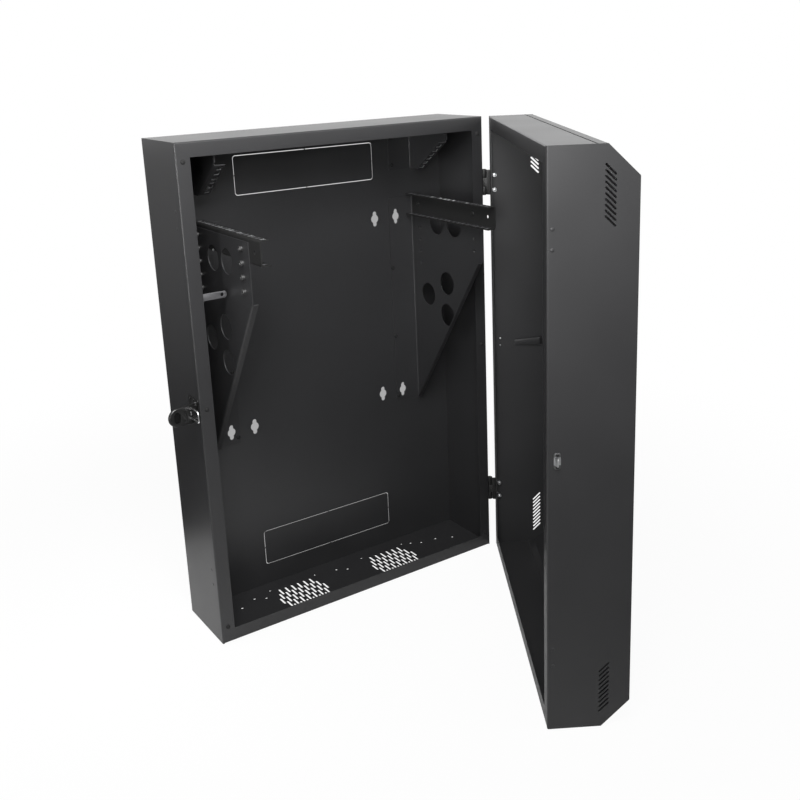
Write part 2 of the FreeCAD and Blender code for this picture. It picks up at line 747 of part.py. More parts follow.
def latch_keeper():
    """Plated keeper on the door wall with a hook that stands out for the bail."""
    wall = -SIDE - SHEET
    outline = rectangle(KEEPER_LONG, 2 * KEEPER_HALF)
    plate = prism(outline, SHEET, V(wall, KEEPER_Y, 0), Y, Z, KEEPER_ROUND)
    hook = [(wall, HOOK_FRONT + HOOK_LEAN), (wall - HOOK_OUT, HOOK_FRONT)]
    hook += [(wall - HOOK_OUT, HOOK_FRONT + HOOK_TIP), (wall, HOOK_FRONT + HOOK_LEAN + HOOK_ROOT)]
    hook = prism(hook, 2 * HOOK_HALF, V(0, 0, -HOOK_HALF), X, Y)
    return clean(plate.fuse(hook))


def bumpers():
    """Round door stops on the front lip."""
    centres = [V(s * BUMPER_X, -DEPTH, z) for s in (1, -1) for z in BUMPER_Z]
    return [prism(ring(BUMPER, BUMPER_SIDES), BUMPER_TALL, centre, X, Z) for centre in centres]


def tie_tab():
    """Flat tab behind the left lip with a hole near its tip."""
    x0, x1 = TAB_X
    middle = V((x0 + x1) / 2, 2 * SHEET - DEPTH, TAB_Z)
    tab = prism(rectangle(x1 - x0, TAB_TALL), SHEET, middle, X, Z, TAB_ROUND)
    hole = V(x1 - TAB_HOLE_IN, 2 * SHEET - DEPTH + PAST, TAB_Z)
    return clean(tab.cut(small_hole(TAB_HOLE, SHEET + 2 * PAST, hole, X, Z)))


def door_tab():
    """Tapered tie tab standing off the inner face of the hinge side wall."""
    tip, root = (DOOR_REAR - v for v in DOOR_TAB_V)
    inner = SIDE - SHEET
    stand = inner - DOOR_TAB_STAND
    low, high = (root + reach for reach in DOOR_TAB_FOOT)
    skin = [(stand, tip), (stand, high), (inner, low), (inner, root)]
    narrow, wide = DOOR_TAB_HALF
    strip = bent(skin, -SHEET, DOOR_TAB_BEND, 2 * wide, V(0, 0, -wide), X, Y)
    outline = [(tip + PAST, -narrow), (tip + PAST, narrow), (root - PAST, wide), (root - PAST, -wide)]
    return clean(strip.common(prism(outline, LIP, V(inner - LIP + PAST, 0, 0), Y, Z)))


os.makedirs("parts", exist_ok=True)

# Cabinet
left_wall, right_wall = cabinet_walls()
top_sheet = cabinet_top([left_wall, right_wall])
export("left_side_panel", left_wall)
export("right_side_panel", right_wall)
export("top_panel", top_sheet)
export("bottom_panel", cabinet_bottom(top_sheet))
export("back_panel", back_panel())
for name, piece in (("bracket", main_bracket()), ("rail", rack_rail()), ("patch_bracket", patch_bracket())):
    export("right_" + name, piece)
    export("left_" + name, clean(mirrored(piece)))
for name, height in zip(("upper", "lower"), HINGE_Z):
    export(name + "_hinge_cabinet_leaf", cabinet_leaf(height))
    export(name + "_hinge_pin", hinge_pin(height))
export("door_bumpers", bumpers())
export("cable_tie_tab", tie_tab())
export("latch_base", latch_base())
export("latch_pivot_pins", pivot_pins())

# Door, drawn shut and then swung open
door_wall = door_blank()
door_hinge_side = clean(mirrored(door_wall))
door_upper = door_top([door_wall, door_hinge_side])
door = {
    "door_free_side_panel": door_free_side(door_wall),
    "door_hinge_side_panel": door_hinge_side,
    "door_top_panel": door_upper,
    "door_bottom_panel": clean(mirrored(door_upper, Z)),
    "door_front_skin": door_skin(),
    "upper_hinge_door_leaf": door_leaf(HINGE_Z[0]),
    "lower_hinge_door_leaf": door_leaf(HINGE_Z[1]),
    "latch_keeper": latch_keeper(),
    "door_tie_tab": door_tab(),
}
for name, piece in door.items():
    export(name, turned(piece, (HINGE_X, HINGE_Y), DOOR_REST))

# Latch lever and bail, drawn shut and then opened
export("latch_lever", turned(latch_lever(), PIVOT, LEVER_REST))
bail_shut = V(*BAIL_OFFSET)
bail_open = FreeCAD.Rotation(Z, LEVER_REST).multVec(bail_shut)
bail_loop = latch_bail()
bail_loop.translate(bail_open - bail_shut)
export("latch_bail", bail_loop)
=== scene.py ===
# %% [markdown]
# A vertical wall mount rack: a shallow folded steel cabinet, two bracket plates with rack rails, and a
# deep chamfered door that stands open on the right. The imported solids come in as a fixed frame. This
# lesson gives them their finishes, adds the small fasteners and wire that a sheet metal shop would fit
# last, and then sets up the camera and the light of the picture.

# %% Load the frame
import bpy
import bmesh
import json
import math
from mathutils import Matrix, Quaternion, Vector


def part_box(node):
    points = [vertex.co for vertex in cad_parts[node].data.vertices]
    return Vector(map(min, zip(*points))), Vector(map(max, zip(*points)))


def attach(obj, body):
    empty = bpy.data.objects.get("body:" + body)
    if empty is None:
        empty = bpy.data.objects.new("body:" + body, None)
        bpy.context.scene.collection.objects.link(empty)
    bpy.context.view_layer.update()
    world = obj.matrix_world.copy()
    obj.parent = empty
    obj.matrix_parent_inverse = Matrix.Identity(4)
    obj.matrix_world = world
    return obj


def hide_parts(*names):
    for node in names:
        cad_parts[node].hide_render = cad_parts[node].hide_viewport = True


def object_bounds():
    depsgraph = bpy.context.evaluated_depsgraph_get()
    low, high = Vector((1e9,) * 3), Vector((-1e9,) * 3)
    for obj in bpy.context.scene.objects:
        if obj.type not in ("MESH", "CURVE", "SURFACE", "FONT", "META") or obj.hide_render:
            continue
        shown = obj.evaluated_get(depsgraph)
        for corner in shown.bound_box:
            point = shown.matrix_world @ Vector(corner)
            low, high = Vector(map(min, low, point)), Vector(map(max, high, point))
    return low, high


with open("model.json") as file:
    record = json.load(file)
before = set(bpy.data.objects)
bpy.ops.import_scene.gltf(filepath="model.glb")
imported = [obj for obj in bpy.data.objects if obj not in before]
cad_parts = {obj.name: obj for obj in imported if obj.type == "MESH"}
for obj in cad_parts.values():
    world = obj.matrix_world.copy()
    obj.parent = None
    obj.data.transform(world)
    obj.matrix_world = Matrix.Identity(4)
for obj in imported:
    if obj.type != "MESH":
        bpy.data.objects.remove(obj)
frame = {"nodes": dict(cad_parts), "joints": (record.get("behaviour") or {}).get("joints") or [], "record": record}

cad_low, cad_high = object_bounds()
nodes = frame["nodes"]

# %% [markdown]
# Lengths below are written in millimetres, as on a workshop drawing, and turned into metres once. The
# door was drawn shut and then swung open about its hinge line, so a point on the door is easiest to
# give for the shut door and then to turn by the same angle.

# %% Units and the swung door
MM = 0.001
joints = {joint["name"]: joint for joint in frame["joints"]}
HINGE = Vector(joints["door_swing"]["pos_m"])
DOOR_OPEN = math.radians(-joints["door_swing"]["range_deg"][0])


def mm(x, y, z):
    """A point given in millimetres."""
    return Vector((x, y, z)) * MM


def swung(point):
    """A point of the shut door, carried to where the open door has it."""
    return HINGE + Quaternion((0, 0, 1), DOOR_OPEN) @ (point - HINGE)


def swung_direction(direction):
    """A direction on the shut door, turned with the open door."""
    return Quaternion((0, 0, 1), DOOR_OPEN) @ Vector(direction)


print("door opened by", round(math.degrees(DOOR_OPEN), 1), "degrees")

# %% [markdown]
# Finishes are built from small nodes: a texture, a sum, a change of range. Placing and linking each one
# by hand takes several lines, so short helpers do it, and a finish can then be read as a few steps. They
# work in the tree of a material and in the tree of a group alike.

# %% Node helpers
def new_group(name, inputs, outputs):
    """An empty shader group with the named float or colour sockets."""
    group = bpy.data.node_groups.new(name, "ShaderNodeTree")
    for socket, kind, value in inputs:
        made = group.interface.new_socket(socket, in_out="INPUT", socket_type=kind)
        made.default_value = value
    for socket, kind in outputs:
        group.interface.new_socket(socket, in_out="OUTPUT", socket_type=kind)
    return group, group.nodes.new("NodeGroupInput"), group.nodes.new("NodeGroupOutput")


def object_place(tree):
    """Coordinates that stay fixed to the piece."""
    return tree.nodes.new("ShaderNodeTexCoord").outputs["Object"]


def noise(tree, vector, scale, detail=2.0):
    """A noise texture on the given coordinates."""
    node = tree.nodes.new("ShaderNodeTexNoise")
    node.inputs["Scale"].default_value = scale
    node.inputs["Detail"].default_value = detail
    tree.links.new(vector, node.inputs["Vector"])
    return node.outputs["Fac"]


def fed(tree, socket, value):
    """Give a socket a number, or link another socket to it."""
    if isinstance(value, (int, float)):
        socket.default_value = value
    else:
        tree.links.new(value, socket)


def spread(tree, value, low, high, start=0.0, end=1.0, blend="LINEAR"):
    """A value between start and end, moved to the range from low to high."""
    node = tree.nodes.new("ShaderNodeMapRange")
    node.interpolation_type = blend
    tree.links.new(value, node.inputs["Value"])
    limits = {"From Min": start, "From Max": end, "To Min": low, "To Max": high}
    for socket, limit in limits.items():
        fed(tree, node.inputs[socket], limit)
    return node.outputs["Result"]


def math_node(tree, operation, a, b):
    """One sum on two sockets or numbers."""
    node = tree.nodes.new("ShaderNodeMath")
    node.operation = operation
    for socket, value in zip(node.inputs, (a, b)):
        fed(tree, socket, value)
    return node.outputs["Value"]


def tinted(tree, colour, factor):
    """A colour made lighter or darker by a factor."""
    node = tree.nodes.new("ShaderNodeVectorMath")
    node.operation = "SCALE"
    tree.links.new(colour, node.inputs[0])
    tree.links.new(factor, node.inputs["Scale"])
    return node.outputs["Vector"]


NODE_HELPERS = (new_group, object_place, noise, fed, spread, math_node, tinted)
print("node helpers:", [helper.__name__ for helper in NODE_HELPERS])

# %% [markdown]
# Powder coat is sprayed as dust and melts into a skin with a faint orange peel. Three things show that:
# a slow drift of tone over the sheet, a fine sparkle in the gloss, and shallow dimples. One flat colour
# would look like plastic. Every painted piece has all three, so they are one node group, placed in each
# material with that piece's own values.

# %% The powder coat group
DRIFT_SCALE = 9.0
GRAIN_SCALE = 900.0
PEEL_SCALE = 420.0
SPARKLE = 0.1
COLOUR = "NodeSocketColor"
NUMBER = "NodeSocketFloat"
COAT_INPUTS = [("Paint", COLOUR, (0.02, 0.02, 0.02, 1)), ("Drift", NUMBER, 0.1),
               ("Rough Low", NUMBER, 0.36), ("Rough High", NUMBER, 0.46)]
COAT_OUTPUTS = [("Color", COLOUR), ("Roughness", NUMBER), ("Peel", NUMBER)]
coat_group, coat_in, coat_out = new_group("powder_coat", COAT_INPUTS, COAT_OUTPUTS)
place = object_place(coat_group)
slow = noise(coat_group, place, DRIFT_SCALE, detail=3.0)
grain = noise(coat_group, place, GRAIN_SCALE, detail=1.0)
peel = noise(coat_group, place, PEEL_SCALE)
low_tone = math_node(coat_group, "SUBTRACT", 1.0, coat_in.outputs["Drift"])
high_tone = math_node(coat_group, "ADD", 1.0, coat_in.outputs["Drift"])
tone = spread(coat_group, slow, low_tone, high_tone)
sparkle = math_node(coat_group, "MULTIPLY", tone, spread(coat_group, grain, 1 - SPARKLE, 1 + SPARKLE))
coat_group.links.new(tinted(coat_group, coat_in.outputs["Paint"], sparkle), coat_out.inputs["Color"])
mean = math_node(coat_group, "MULTIPLY", math_node(coat_group, "ADD", slow, grain), 0.5)
rough = spread(coat_group, mean, coat_in.outputs["Rough Low"], coat_in.outputs["Rough High"])
coat_group.links.new(rough, coat_out.inputs["Roughness"])
coat_group.links.new(peel, coat_out.inputs["Peel"])
print("group:", coat_group.name, [socket.name for socket in coat_group.interface.items_tree])

# %% [markdown]
# A material places the group and joins it to a Principled shader. What is the same all over, such as
# the metallic value of a plated piece, is set on the shader's own socket.

# %% Painted materials
PEEL_DEPTH = 0.4 * MM
BLACK = (0.020, 0.020, 0.021)
finishes = {}


def shader_material(slot, metallic):
    """A material with its Principled shader ready, kept under its slot's name."""
    material = bpy.data.materials.new(slot)
    material.use_nodes = True
    shader = material.node_tree.nodes["Principled BSDF"]
    shader.inputs["Metallic"].default_value = metallic
    finishes[slot] = material
    return material.node_tree, shader


def bumped(tree, shader, height, strength, distance):
    """Dimples from a height value, on the shader's normal."""
    bump = tree.nodes.new("ShaderNodeBump")
    bump.inputs["Strength"].default_value = strength
    bump.inputs["Distance"].default_value = distance
    tree.links.new(height, bump.inputs["Height"])
    tree.links.new(bump.outputs["Normal"], shader.inputs["Normal"])


def placed(tree, group, values):
    """The outputs of a group that is placed in a material with its own values."""
    node = tree.nodes.new("ShaderNodeGroup")
    node.node_tree = group
    for socket, value in values.items():
        node.inputs[socket].default_value = value
    return node.outputs


def coated(name, paint, drift, rough, peel, specular=0.5):
    """Powder coated steel."""
    tree, shader = shader_material(name, 0.0)
    values = {"Paint": (*paint, 1), "Drift": drift, "Rough Low": rough[0], "Rough High": rough[1]}
    coat = placed(tree, coat_group, values)
    tree.links.new(coat["Color"], shader.inputs["Base Color"])
    tree.links.new(coat["Roughness"], shader.inputs["Roughness"])
    shader.inputs["Specular IOR Level"].default_value = specular
    bumped(tree, shader, coat["Peel"], peel, PEEL_DEPTH)


coated("cabinet_coat", BLACK, drift=0.10, rough=(0.34, 0.46), peel=0.10)
coated("door_coat", BLACK, drift=0.12, rough=(0.34, 0.46), peel=0.10)
coated("bracket_coat", (0.018, 0.018, 0.019), drift=0.12, rough=(0.40, 0.52), peel=0.12, specular=0.46)
coated("rail_coat", (0.011, 0.011, 0.011), drift=0.12, rough=(0.50, 0.60), peel=0.12, specular=0.25)
coated("latch_coat", (0.007, 0.007, 0.007), drift=0.10, rough=(0.30, 0.40), peel=0.08)
coated("black_hardware", (0.009, 0.009, 0.009), drift=0.15, rough=(0.40, 0.52), peel=0.06, specular=0.3)
print("painted:", list(finishes))

# %% [markdown]
# Zinc plate and chromed wire are bare metal, so their colour is their reflection. Zinc has a cloudy
# crystal bloom and fine drawing lines; polished wire has only hairline scratches along its length.
# Both come from one group of noise, stretched for the lines. It needs no picture and never repeats.

# %% Plated materials
CLOUD_SCALE = 260.0
LINE_SCALE = 300.0
LINE_STRETCH = (1.0, 1.0, 14.0)
LINE_DEPTH = 0.2 * MM
ZINC = (0.74, 0.75, 0.76)
PLATE_INPUTS = [("Metal", COLOUR, (0.6, 0.6, 0.6, 1)), ("Bloom", NUMBER, 0.1),
                ("Rough Low", NUMBER, 0.2), ("Rough High", NUMBER, 0.4)]
PLATE_OUTPUTS = [("Color", COLOUR), ("Roughness", NUMBER), ("Lines", NUMBER)]
plate_group, plate_in, plate_out = new_group("plated_metal", PLATE_INPUTS, PLATE_OUTPUTS)
place = object_place(plate_group)
stretch = plate_group.nodes.new("ShaderNodeMapping")
stretch.inputs["Scale"].default_value = LINE_STRETCH
plate_group.links.new(place, stretch.inputs["Vector"])
cloud = noise(plate_group, place, CLOUD_SCALE, detail=3.0)
lines = noise(plate_group, stretch.outputs["Vector"], LINE_SCALE)
low_bloom = math_node(plate_group, "SUBTRACT", 1.0, plate_in.outputs["Bloom"])
bloom = spread(plate_group, cloud, low_bloom, 1.0)
plate_group.links.new(tinted(plate_group, plate_in.outputs["Metal"], bloom), plate_out.inputs["Color"])
rough = spread(plate_group, lines, plate_in.outputs["Rough Low"], plate_in.outputs["Rough High"])
plate_group.links.new(rough, plate_out.inputs["Roughness"])
plate_group.links.new(lines, plate_out.inputs["Lines"])


def plated(name, metal, bloom, rough, lines):
    """Bare or plated metal, with the parts that a worn piece changes."""
    tree, shader = shader_material(name, 1.0)
    values = {"Metal": (*metal, 1), "Bloom": bloom, "Rough Low": rough[0], "Rough High": rough[1]}
    skin = placed(tree, plate_group, values)
    tree.links.new(skin["Color"], shader.inputs["Base Color"])
    tree.links.new(skin["Roughness"], shader.inputs["Roughness"])
    bumped(tree, shader, skin["Lines"], lines, LINE_DEPTH)
    return tree, shader, skin["Color"]


plated("zinc_plate", ZINC, bloom=0.22, rough=(0.24, 0.42), lines=0.10)
# The next two are zinc darkened as painted shade: the dull one also has a rougher finish, and the dark one is a
# deeper painted shade.
plated("dull_shade_darkened_zinc", (0.29, 0.29, 0.30), bloom=0.30, rough=(0.40, 0.55), lines=0.10)
plated("deep_shade_darkened_zinc", (0.12, 0.12, 0.12), bloom=0.30, rough=(0.45, 0.60), lines=0.10)
plated("bail_chrome", (0.84, 0.84, 0.85), bloom=0.06, rough=(0.18, 0.28), lines=0.02)
print("plated:", list(finishes)[-4:])

# %% [markdown]
# The keeper is bright zinc in its middle and darker toward its ends. The distance from the middle,
# measured up and down, becomes a mask that darkens the ends. A mask from the coordinates needs no
# unwrapping and no painting by hand.

# %% Keeper with darker ends
BRIGHT_HALF = 5.8
BRIGHT_FADE = 1.0
END_TONE = 0.28
tree, shader, metal_colour = plated("keeper_with_dark_ends", ZINC, bloom=0.22, rough=(0.24, 0.42), lines=0.10)
height = tree.nodes.new("ShaderNodeSeparateXYZ")
tree.links.new(object_place(tree), height.inputs["Vector"])
away = math_node(tree, "ABSOLUTE", height.outputs["Z"], 0.0)
# Brighter within the middle band and darker toward the ends.
end_tone = spread(tree, away, 1.0, END_TONE, BRIGHT_HALF * MM, (BRIGHT_HALF + BRIGHT_FADE) * MM)
tree.links.new(tinted(tree, metal_colour, end_tone), shader.inputs["Base Color"])
print("polished within", BRIGHT_HALF, "mm of the middle")

# %% [markdown]
# The door stops are moulded rubber: dull, dark and a little dusty on top. The same material, almost
# black, fills the lever's finger recess as painted shade. Dust could be scattered as grains, but at this
# size only its tone shows, so the colour is paler where a noise is high.

# %% Rubber
DUST_SCALE = 500.0
RUBBER_GRAIN_SCALE = 1500.0
RUBBER_ROUGH = (0.62, 0.8)
RUBBER_SPECULAR = 0.15
RUBBER_GRAIN = 0.15
RUBBER_GRAIN_DEPTH = 0.3 * MM


def rubber(name, clean, dusty):
    """Moulded rubber with a dusty bloom, from a clean to a dusty tone."""
    tree, shader = shader_material(name, 0.0)
    place = object_place(tree)
    dust = noise(tree, place, DUST_SCALE, detail=3.0)
    ramp = tree.nodes.new("ShaderNodeValToRGB")
    for element, tone in zip(ramp.color_ramp.elements, (clean, dusty)):
        element.color = (tone, tone, tone, 1)
    tree.links.new(dust, ramp.inputs["Fac"])
    tree.links.new(ramp.outputs["Color"], shader.inputs["Base Color"])
    tree.links.new(spread(tree, dust, *RUBBER_ROUGH), shader.inputs["Roughness"])
    shader.inputs["Specular IOR Level"].default_value = RUBBER_SPECULAR
    bumped(tree, shader, noise(tree, place, RUBBER_GRAIN_SCALE), RUBBER_GRAIN, RUBBER_GRAIN_DEPTH)


rubber("bumper_rubber", clean=0.012, dusty=0.024)
# An almost black copy of the rubber, used as painted shade in the lever's finger recess.
rubber("recess_shade_black", clean=0.001, dusty=0.003)
print("finishes:", sorted(finishes))

# %% [markdown]
# The record says which finish each solid has. Its name is the material's name here, so the solids are
# painted in one loop, but for the cable tie tab, whose zinc is duller and darkened as painted shade, the
# keeper, which is darker toward its ends, and the rails, whose paint is duller. Their meshes stay as they
# are. Modifiers join their corners, take the sharpness off the small parts, and tell Blender which edges
# are soft bends and which are sharp cuts.

# %% Paint the solids
SOFT_ANGLE = math.radians(32)
CORNER_GAP = 1e-6
EDGE_ROUND = 0.35 * MM


def bend_shading():
    """A modifier group that shades bends smoothly and keeps cut edges sharp."""
    group = bpy.data.node_groups.new("bend_shading", "GeometryNodeTree")
    group.interface.new_socket("Geometry", in_out="INPUT", socket_type="NodeSocketGeometry")
    group.interface.new_socket("Geometry", in_out="OUTPUT", socket_type="NodeSocketGeometry")
    start = group.nodes.new("NodeGroupInput")
    end = group.nodes.new("NodeGroupOutput")
    faces = group.nodes.new("GeometryNodeSetShadeSmooth")
    edges = group.nodes.new("GeometryNodeSetShadeSmooth")
    edges.domain = "EDGE"
    angle = group.nodes.new("GeometryNodeInputMeshEdgeAngle")
    soft = group.nodes.new("FunctionNodeCompare")
    soft.operation = "LESS_THAN"
    soft.inputs["B"].default_value = SOFT_ANGLE
    group.links.new(angle.outputs["Unsigned Angle"], soft.inputs["A"])
    group.links.new(start.outputs[0], faces.inputs["Geometry"])
    group.links.new(faces.outputs["Geometry"], edges.inputs["Geometry"])
    group.links.new(soft.outputs["Result"], edges.inputs["Shade Smooth"])
    group.links.new(edges.outputs["Geometry"], end.inputs[0])
    return group


shading = bend_shading()
SLOT_OF = {part["node"]: part["material_slot"] for part in frame["record"]["subparts"]}
ROUNDED = ("latch_lever", "latch_base", "latch_keeper", "cable_tie_tab", "door_tie_tab",
           "upper_hinge_cabinet_leaf", "lower_hinge_cabinet_leaf",
           "upper_hinge_door_leaf", "lower_hinge_door_leaf")
OWN_FINISH = {"cable_tie_tab": "dull_shade_darkened_zinc", "latch_keeper": "keeper_with_dark_ends",
              "left_rail": "rail_coat", "right_rail": "rail_coat"}
for name, solid in nodes.items():
    solid.data.materials.clear()
    solid.data.materials.append(finishes[OWN_FINISH.get(name, SLOT_OF[name])])
    solid.modifiers.new("joined corners", "WELD").merge_threshold = CORNER_GAP
    if name in ROUNDED:
        edge = solid.modifiers.new("broken edges", "BEVEL")
        edge.width = EDGE_ROUND
        edge.segments = 2
        edge.angle_limit = SOFT_ANGLE
    solid.modifiers.new("bend shading", "NODES").node_group = shading
print("painted solids:", len(nodes))

# %% [markdown]
# Screws, nuts and rivets are turned parts, so each one is a profile spun round an axis. What isn't round
# is a stack of rings instead, with walls from each ring to the next. A modifier could do both, but a
# mesh made once is easier to copy.

# %% Turned and stacked shapes
MERGE_GAP = 1e-7


def spin(bm, profile, steps=28):
    """Spin a profile of radius and height round the upright axis."""
    line = [bm.verts.new((radius * MM, 0, height * MM)) for radius, height in profile]
    edges = [bm.edges.new(pair) for pair in zip(line, line[1:])]
    turn = {"cent": (0, 0, 0), "axis": (0, 0, 1), "angle": 2 * math.pi, "steps": steps, "use_merge": True}
    bmesh.ops.spin(bm, geom=line + edges, **turn)
    bmesh.ops.remove_doubles(bm, verts=bm.verts[:], dist=MERGE_GAP)


def walled(bm, rings, ends=True):
    """Walls from each ring of points to the next, and flat ends."""
    for near, far in zip(rings, rings[1:]):
        for i in range(len(near)):
            j = (i + 1) % len(near)
            bm.faces.new((near[i], near[j], far[j], far[i]))
    if ends:
        bm.faces.new(rings[0][::-1])
        bm.faces.new(rings[-1])


def rectangle(bm, x, y, z):
    """A ring of four points round the upright axis, in millimetres."""
    corners = [(x, y), (-x, y), (-x, -y), (x, -y)]
    return [bm.verts.new((across * MM, along * MM, z * MM)) for across, along in corners]


def domed(radius, tall, foot, turns):
    """Profile of a dome that stands on a straight foot, given as a share of its height."""
    rounded = [(radius * math.cos(turn), tall * (foot + (1 - foot) * math.sin(turn))) for turn in turns]
    return [(0, 0), (radius, 0)] + rounded + [(0, tall)]


def shaded(bm, name):
    """A mesh from the working copy, with smooth faces and sharp cut edges."""
    bmesh.ops.recalc_face_normals(bm, faces=bm.faces[:])
    for face in bm.faces:
        face.smooth = True
    for edge in bm.edges:
        edge.smooth = len(edge.link_faces) < 2 or edge.calc_face_angle() < SOFT_ANGLE
    mesh = bpy.data.meshes.new(name)
    bm.to_mesh(mesh)
    bm.free()
    return mesh


print("shapes:", [shape.__name__ for shape in (spin, walled, rectangle, domed, shaded)])

# %% [markdown]
# A pan head screw has a low dome and a cross recess. A bump in the material could draw the recess, but it
# would not be part of the mesh, so a tapered cross is cut out, and its walls catch the light.

# %% Pan head screws
SCREW_HEAD = 4.4
SCREW_TALL = 2.6
HEAD_FOOT = 0.45
HEAD_TURNS = (0.0, 0.35, 0.7, 1.05, 1.35)
CROSS_REACH = SCREW_HEAD * 0.52
CROSS_WIDE = SCREW_HEAD * 0.13
CROSS_DEEP = SCREW_TALL * 0.7
CROSS_TAPER = 0.45
CROSS_ABOVE = 0.5


def cross_cutter():
    """A tapered cross that stands down into a screw head."""
    bm = bmesh.new()
    for x, y in ((CROSS_REACH, CROSS_WIDE), (CROSS_WIDE, CROSS_REACH)):
        floor_ring = rectangle(bm, x * CROSS_TAPER, y * CROSS_TAPER, SCREW_TALL - CROSS_DEEP)
        walled(bm, [floor_ring, rectangle(bm, x, y, SCREW_TALL + CROSS_ABOVE)])
    return shaded(bm, "cross_cutter")


def cut_by(mesh, cutter):
    """A mesh with another mesh taken out of it."""
    body = bpy.data.objects.new("blank", mesh)
    tool = bpy.data.objects.new("tool", cutter)
    for item in (body, tool):
        bpy.context.scene.collection.objects.link(item)
    boolean = body.modifiers.new("recess", "BOOLEAN")
    boolean.object = tool
    boolean.solver = "EXACT"
    boolean.use_self = True
    ready = body.evaluated_get(bpy.context.evaluated_depsgraph_get())
    bm = bmesh.new()
    bm.from_mesh(ready.to_mesh())
    for item in (body, tool):
        bpy.data.objects.remove(item)
    return shaded(bm, "cut_head")


bm = bmesh.new()
spin(bm, domed(SCREW_HEAD, SCREW_TALL, HEAD_FOOT, HEAD_TURNS))
pan = cut_by(shaded(bm, "pan_blank"), cross_cutter())
print("screw head faces:", len(pan.polygons))

# %% [markdown]
# The feet of the brackets and of the patch brackets are screwed to the back panel, left and right alike.
# A fastener is made once, standing on its seat and pointing up, and then copied to every seat with its
# own direction. All copies of one kind on one body are a single piece, which rides that body and takes
# the material of its slot, or of its own finish where one is given.

# %% Bracket screws
SIDES = (1, -1)
PLATE = 2.0
FOOT_X = 190.5
FOOT_Z = (157.0, 7.0, -128.0)
PATCH_X = 197.0
PATCH_Z = (372.0, 428.0)
TOWARDS_FRONT = (0, -1, 0)


def seated(name, mesh, seats, body, slot, finish=None):
    """Copies of one small part on their seats, as one piece that rides a body."""
    bm = bmesh.new()
    for point, direction in seats:
        start = len(bm.verts)
        bm.from_mesh(mesh)
        bm.verts.ensure_lookup_table()
        turn = Vector(direction).to_track_quat("Z", "Y").to_matrix().to_4x4()
        bmesh.ops.transform(bm, matrix=Matrix.Translation(point) @ turn, verts=bm.verts[start:])
    whole = bpy.data.meshes.new(name)
    bm.to_mesh(whole)
    bm.free()
    whole.materials.append(finishes[finish or slot])
    piece = bpy.data.objects.new(name, whole)
    bpy.context.scene.collection.objects.link(piece)
    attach(piece, body)
    print(name, "x", len(seats), "on", body)
    return piece


foot_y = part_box("right_bracket")[1].y / MM - PLATE
foot_seats = [(mm(side * FOOT_X, foot_y, z), TOWARDS_FRONT) for z in FOOT_Z for side in SIDES]
patch_seats = [(mm(side * PATCH_X, foot_y, z), TOWARDS_FRONT) for z in PATCH_Z for side in SIDES]
seated("bracket_screws", pan, foot_seats, "cabinet", "black_hardware")
seated("patch_bracket_screws", pan, patch_seats, "cabinet", "black_hardware")

# %% [markdown]
# A nut is a six sided bar whose corners are turned off, with the end of its bolt standing through it.
# A true helix would need many more faces, so the bolt's thread is a stack of shallow ridges, close
# enough together to read as a thread.

# %% Nuts with bolt ends
NUT_FLAT = 8.0
NUT_TALL = 4.0
BOLT = 2.5
BOLT_PAST = 1.6
THREAD = 0.8
THREAD_DEEP = 0.35
THREAD_STEPS = 20
NUT_POINTS = 24
NUT_FOOT = 0.5
NUT_CHAMFER = 0.6
BOLT_CHAMFER = 0.5
BOLT_END = 0.3


def nut_with_end():
    """A chamfered nut on its seat with a threaded bolt end through it."""
    bm = bmesh.new()
    reach = NUT_FLAT / math.sqrt(3)
    flat = NUT_FLAT / 2
    rings = []
    turned = ((0.0, flat * 1.02), (NUT_FOOT, reach), (NUT_TALL - NUT_CHAMFER, reach), (NUT_TALL, flat))
    for height, limit in turned:
        ring = []
        for i in range(NUT_POINTS):
            turn = 2 * math.pi * i / NUT_POINTS
            to_flat = flat / math.cos((turn + math.pi / 6) % (math.pi / 3) - math.pi / 6)
            radius = min(to_flat, limit) * MM
            ring.append(bm.verts.new((radius * math.cos(turn), radius * math.sin(turn), height * MM)))
        rings.append(ring)
    walled(bm, rings)
    ridges = [(BOLT, NUT_TALL - BOLT_CHAMFER)]
    height = NUT_TALL
    while height < NUT_TALL + BOLT_PAST:
        ridges += [(BOLT - THREAD_DEEP, height + THREAD * 0.25), (BOLT, height + THREAD * 0.5)]
        height += THREAD * 0.5
    ridges += [(BOLT - BOLT_CHAMFER, height + BOLT_END), (0, height + BOLT_END)]
    spin(bm, ridges, THREAD_STEPS)
    return shaded(bm, "nut")


nut = nut_with_end()
print("nut faces:", len(nut.polygons))

# %% [markdown]
# The rails can sit at several heights, so every hole of the bracket plates has its own clinch nut. Such
# a nut is a short sleeve with a collar: the sleeve is pressed into the hole until it is flush, and the
# collar stands on the outside. Both are one closed profile, so the nut is spun in one go. Screws in the
# topmost holes hold the rails.

# %% Clinch nuts and rail screws
CLINCH_BORE = 2.1
CLINCH_SLEEVE = 3.2
CLINCH_COLLAR = 5.0
CLINCH_TALL = 5.2
CLINCH_SINK = 0.5
SLEEVE_CHAMFER = 0.3
MOUTH_CHAMFER = 0.4
COLLAR_CHAMFER = (0.5, 0.6)
RAIL_STEP = 24.8
RAIL_SCREW_Z = 290.0
RAIL_COLUMNS = {-217.0: 4, -31.0: 6}
bm = bmesh.new()
inner_end = CLINCH_SINK - PLATE
sleeve = [(CLINCH_BORE, inner_end + SLEEVE_CHAMFER), (CLINCH_BORE + SLEEVE_CHAMFER, inner_end),
          (CLINCH_SLEEVE, inner_end)]
collar = [(CLINCH_SLEEVE, 0), (CLINCH_COLLAR, 0), (CLINCH_COLLAR, CLINCH_TALL - COLLAR_CHAMFER[1]),
          (CLINCH_COLLAR - COLLAR_CHAMFER[0], CLINCH_TALL)]
